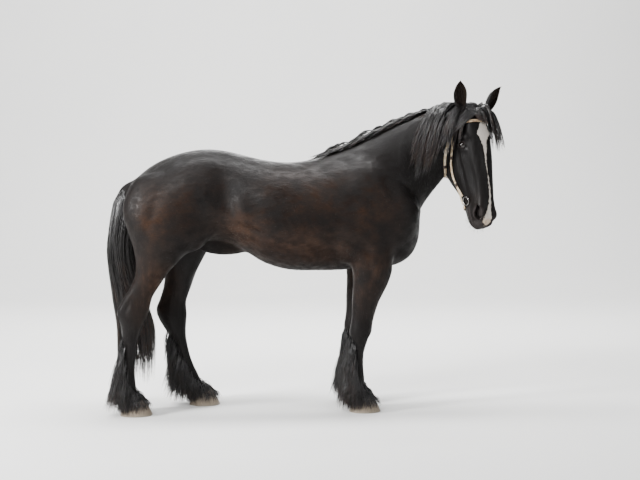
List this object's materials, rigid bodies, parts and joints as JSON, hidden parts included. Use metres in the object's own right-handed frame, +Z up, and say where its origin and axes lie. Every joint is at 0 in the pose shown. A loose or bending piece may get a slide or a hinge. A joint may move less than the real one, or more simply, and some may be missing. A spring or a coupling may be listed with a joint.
{
  "type": "draft cross horse",
  "caption": "Life-size standing draft cross horse in a western headstall, head turned to its right, with full mane, forelock, tail and feathered legs.",
  "frame": {"origin": "middle of the base of the bounding box, on the ground that the hooves stand on", "axes": "+X to the horse's front, +Y to its left, +Z up"},
  "size_m": [2.49, 0.7096, 2.0454],
  "materials": {
    "coat": "glossy black coat",
    "mane_hair": "long black hair",
    "hoof_horn": "grey-brown horn",
    "eye": "wet dark brown",
    "bridle_leather": "pale rawhide",
    "bit_steel": "satin"
  },
  "bodies": {
    "root": {"bit_ring_left": "bit_steel", "bit_ring_right": "bit_steel", "browband": "bridle_leather", "cannon_fore_left": "coat", "cannon_fore_right": "coat", "cannon_hind_left": "coat", "cannon_hind_right": "coat", "curb_strap": "bridle_leather", "ear_left": "coat", "ear_right": "coat", "eye_left": "eye", "eye_right": "eye", "forearm_left": "coat", "forearm_right": "coat", "gaskin_left": "coat", "gaskin_right": "coat", "head": "coat", "headstall": "bridle_leather", "hoof_fore_left": "hoof_horn", "hoof_fore_right": "hoof_horn", "hoof_hind_left": "hoof_horn", "hoof_hind_right": "hoof_horn", "neck": "coat", "tail": "mane_hair", "throatlatch": "bridle_leather", "torso": "coat"}
  },
  "joints": []
}
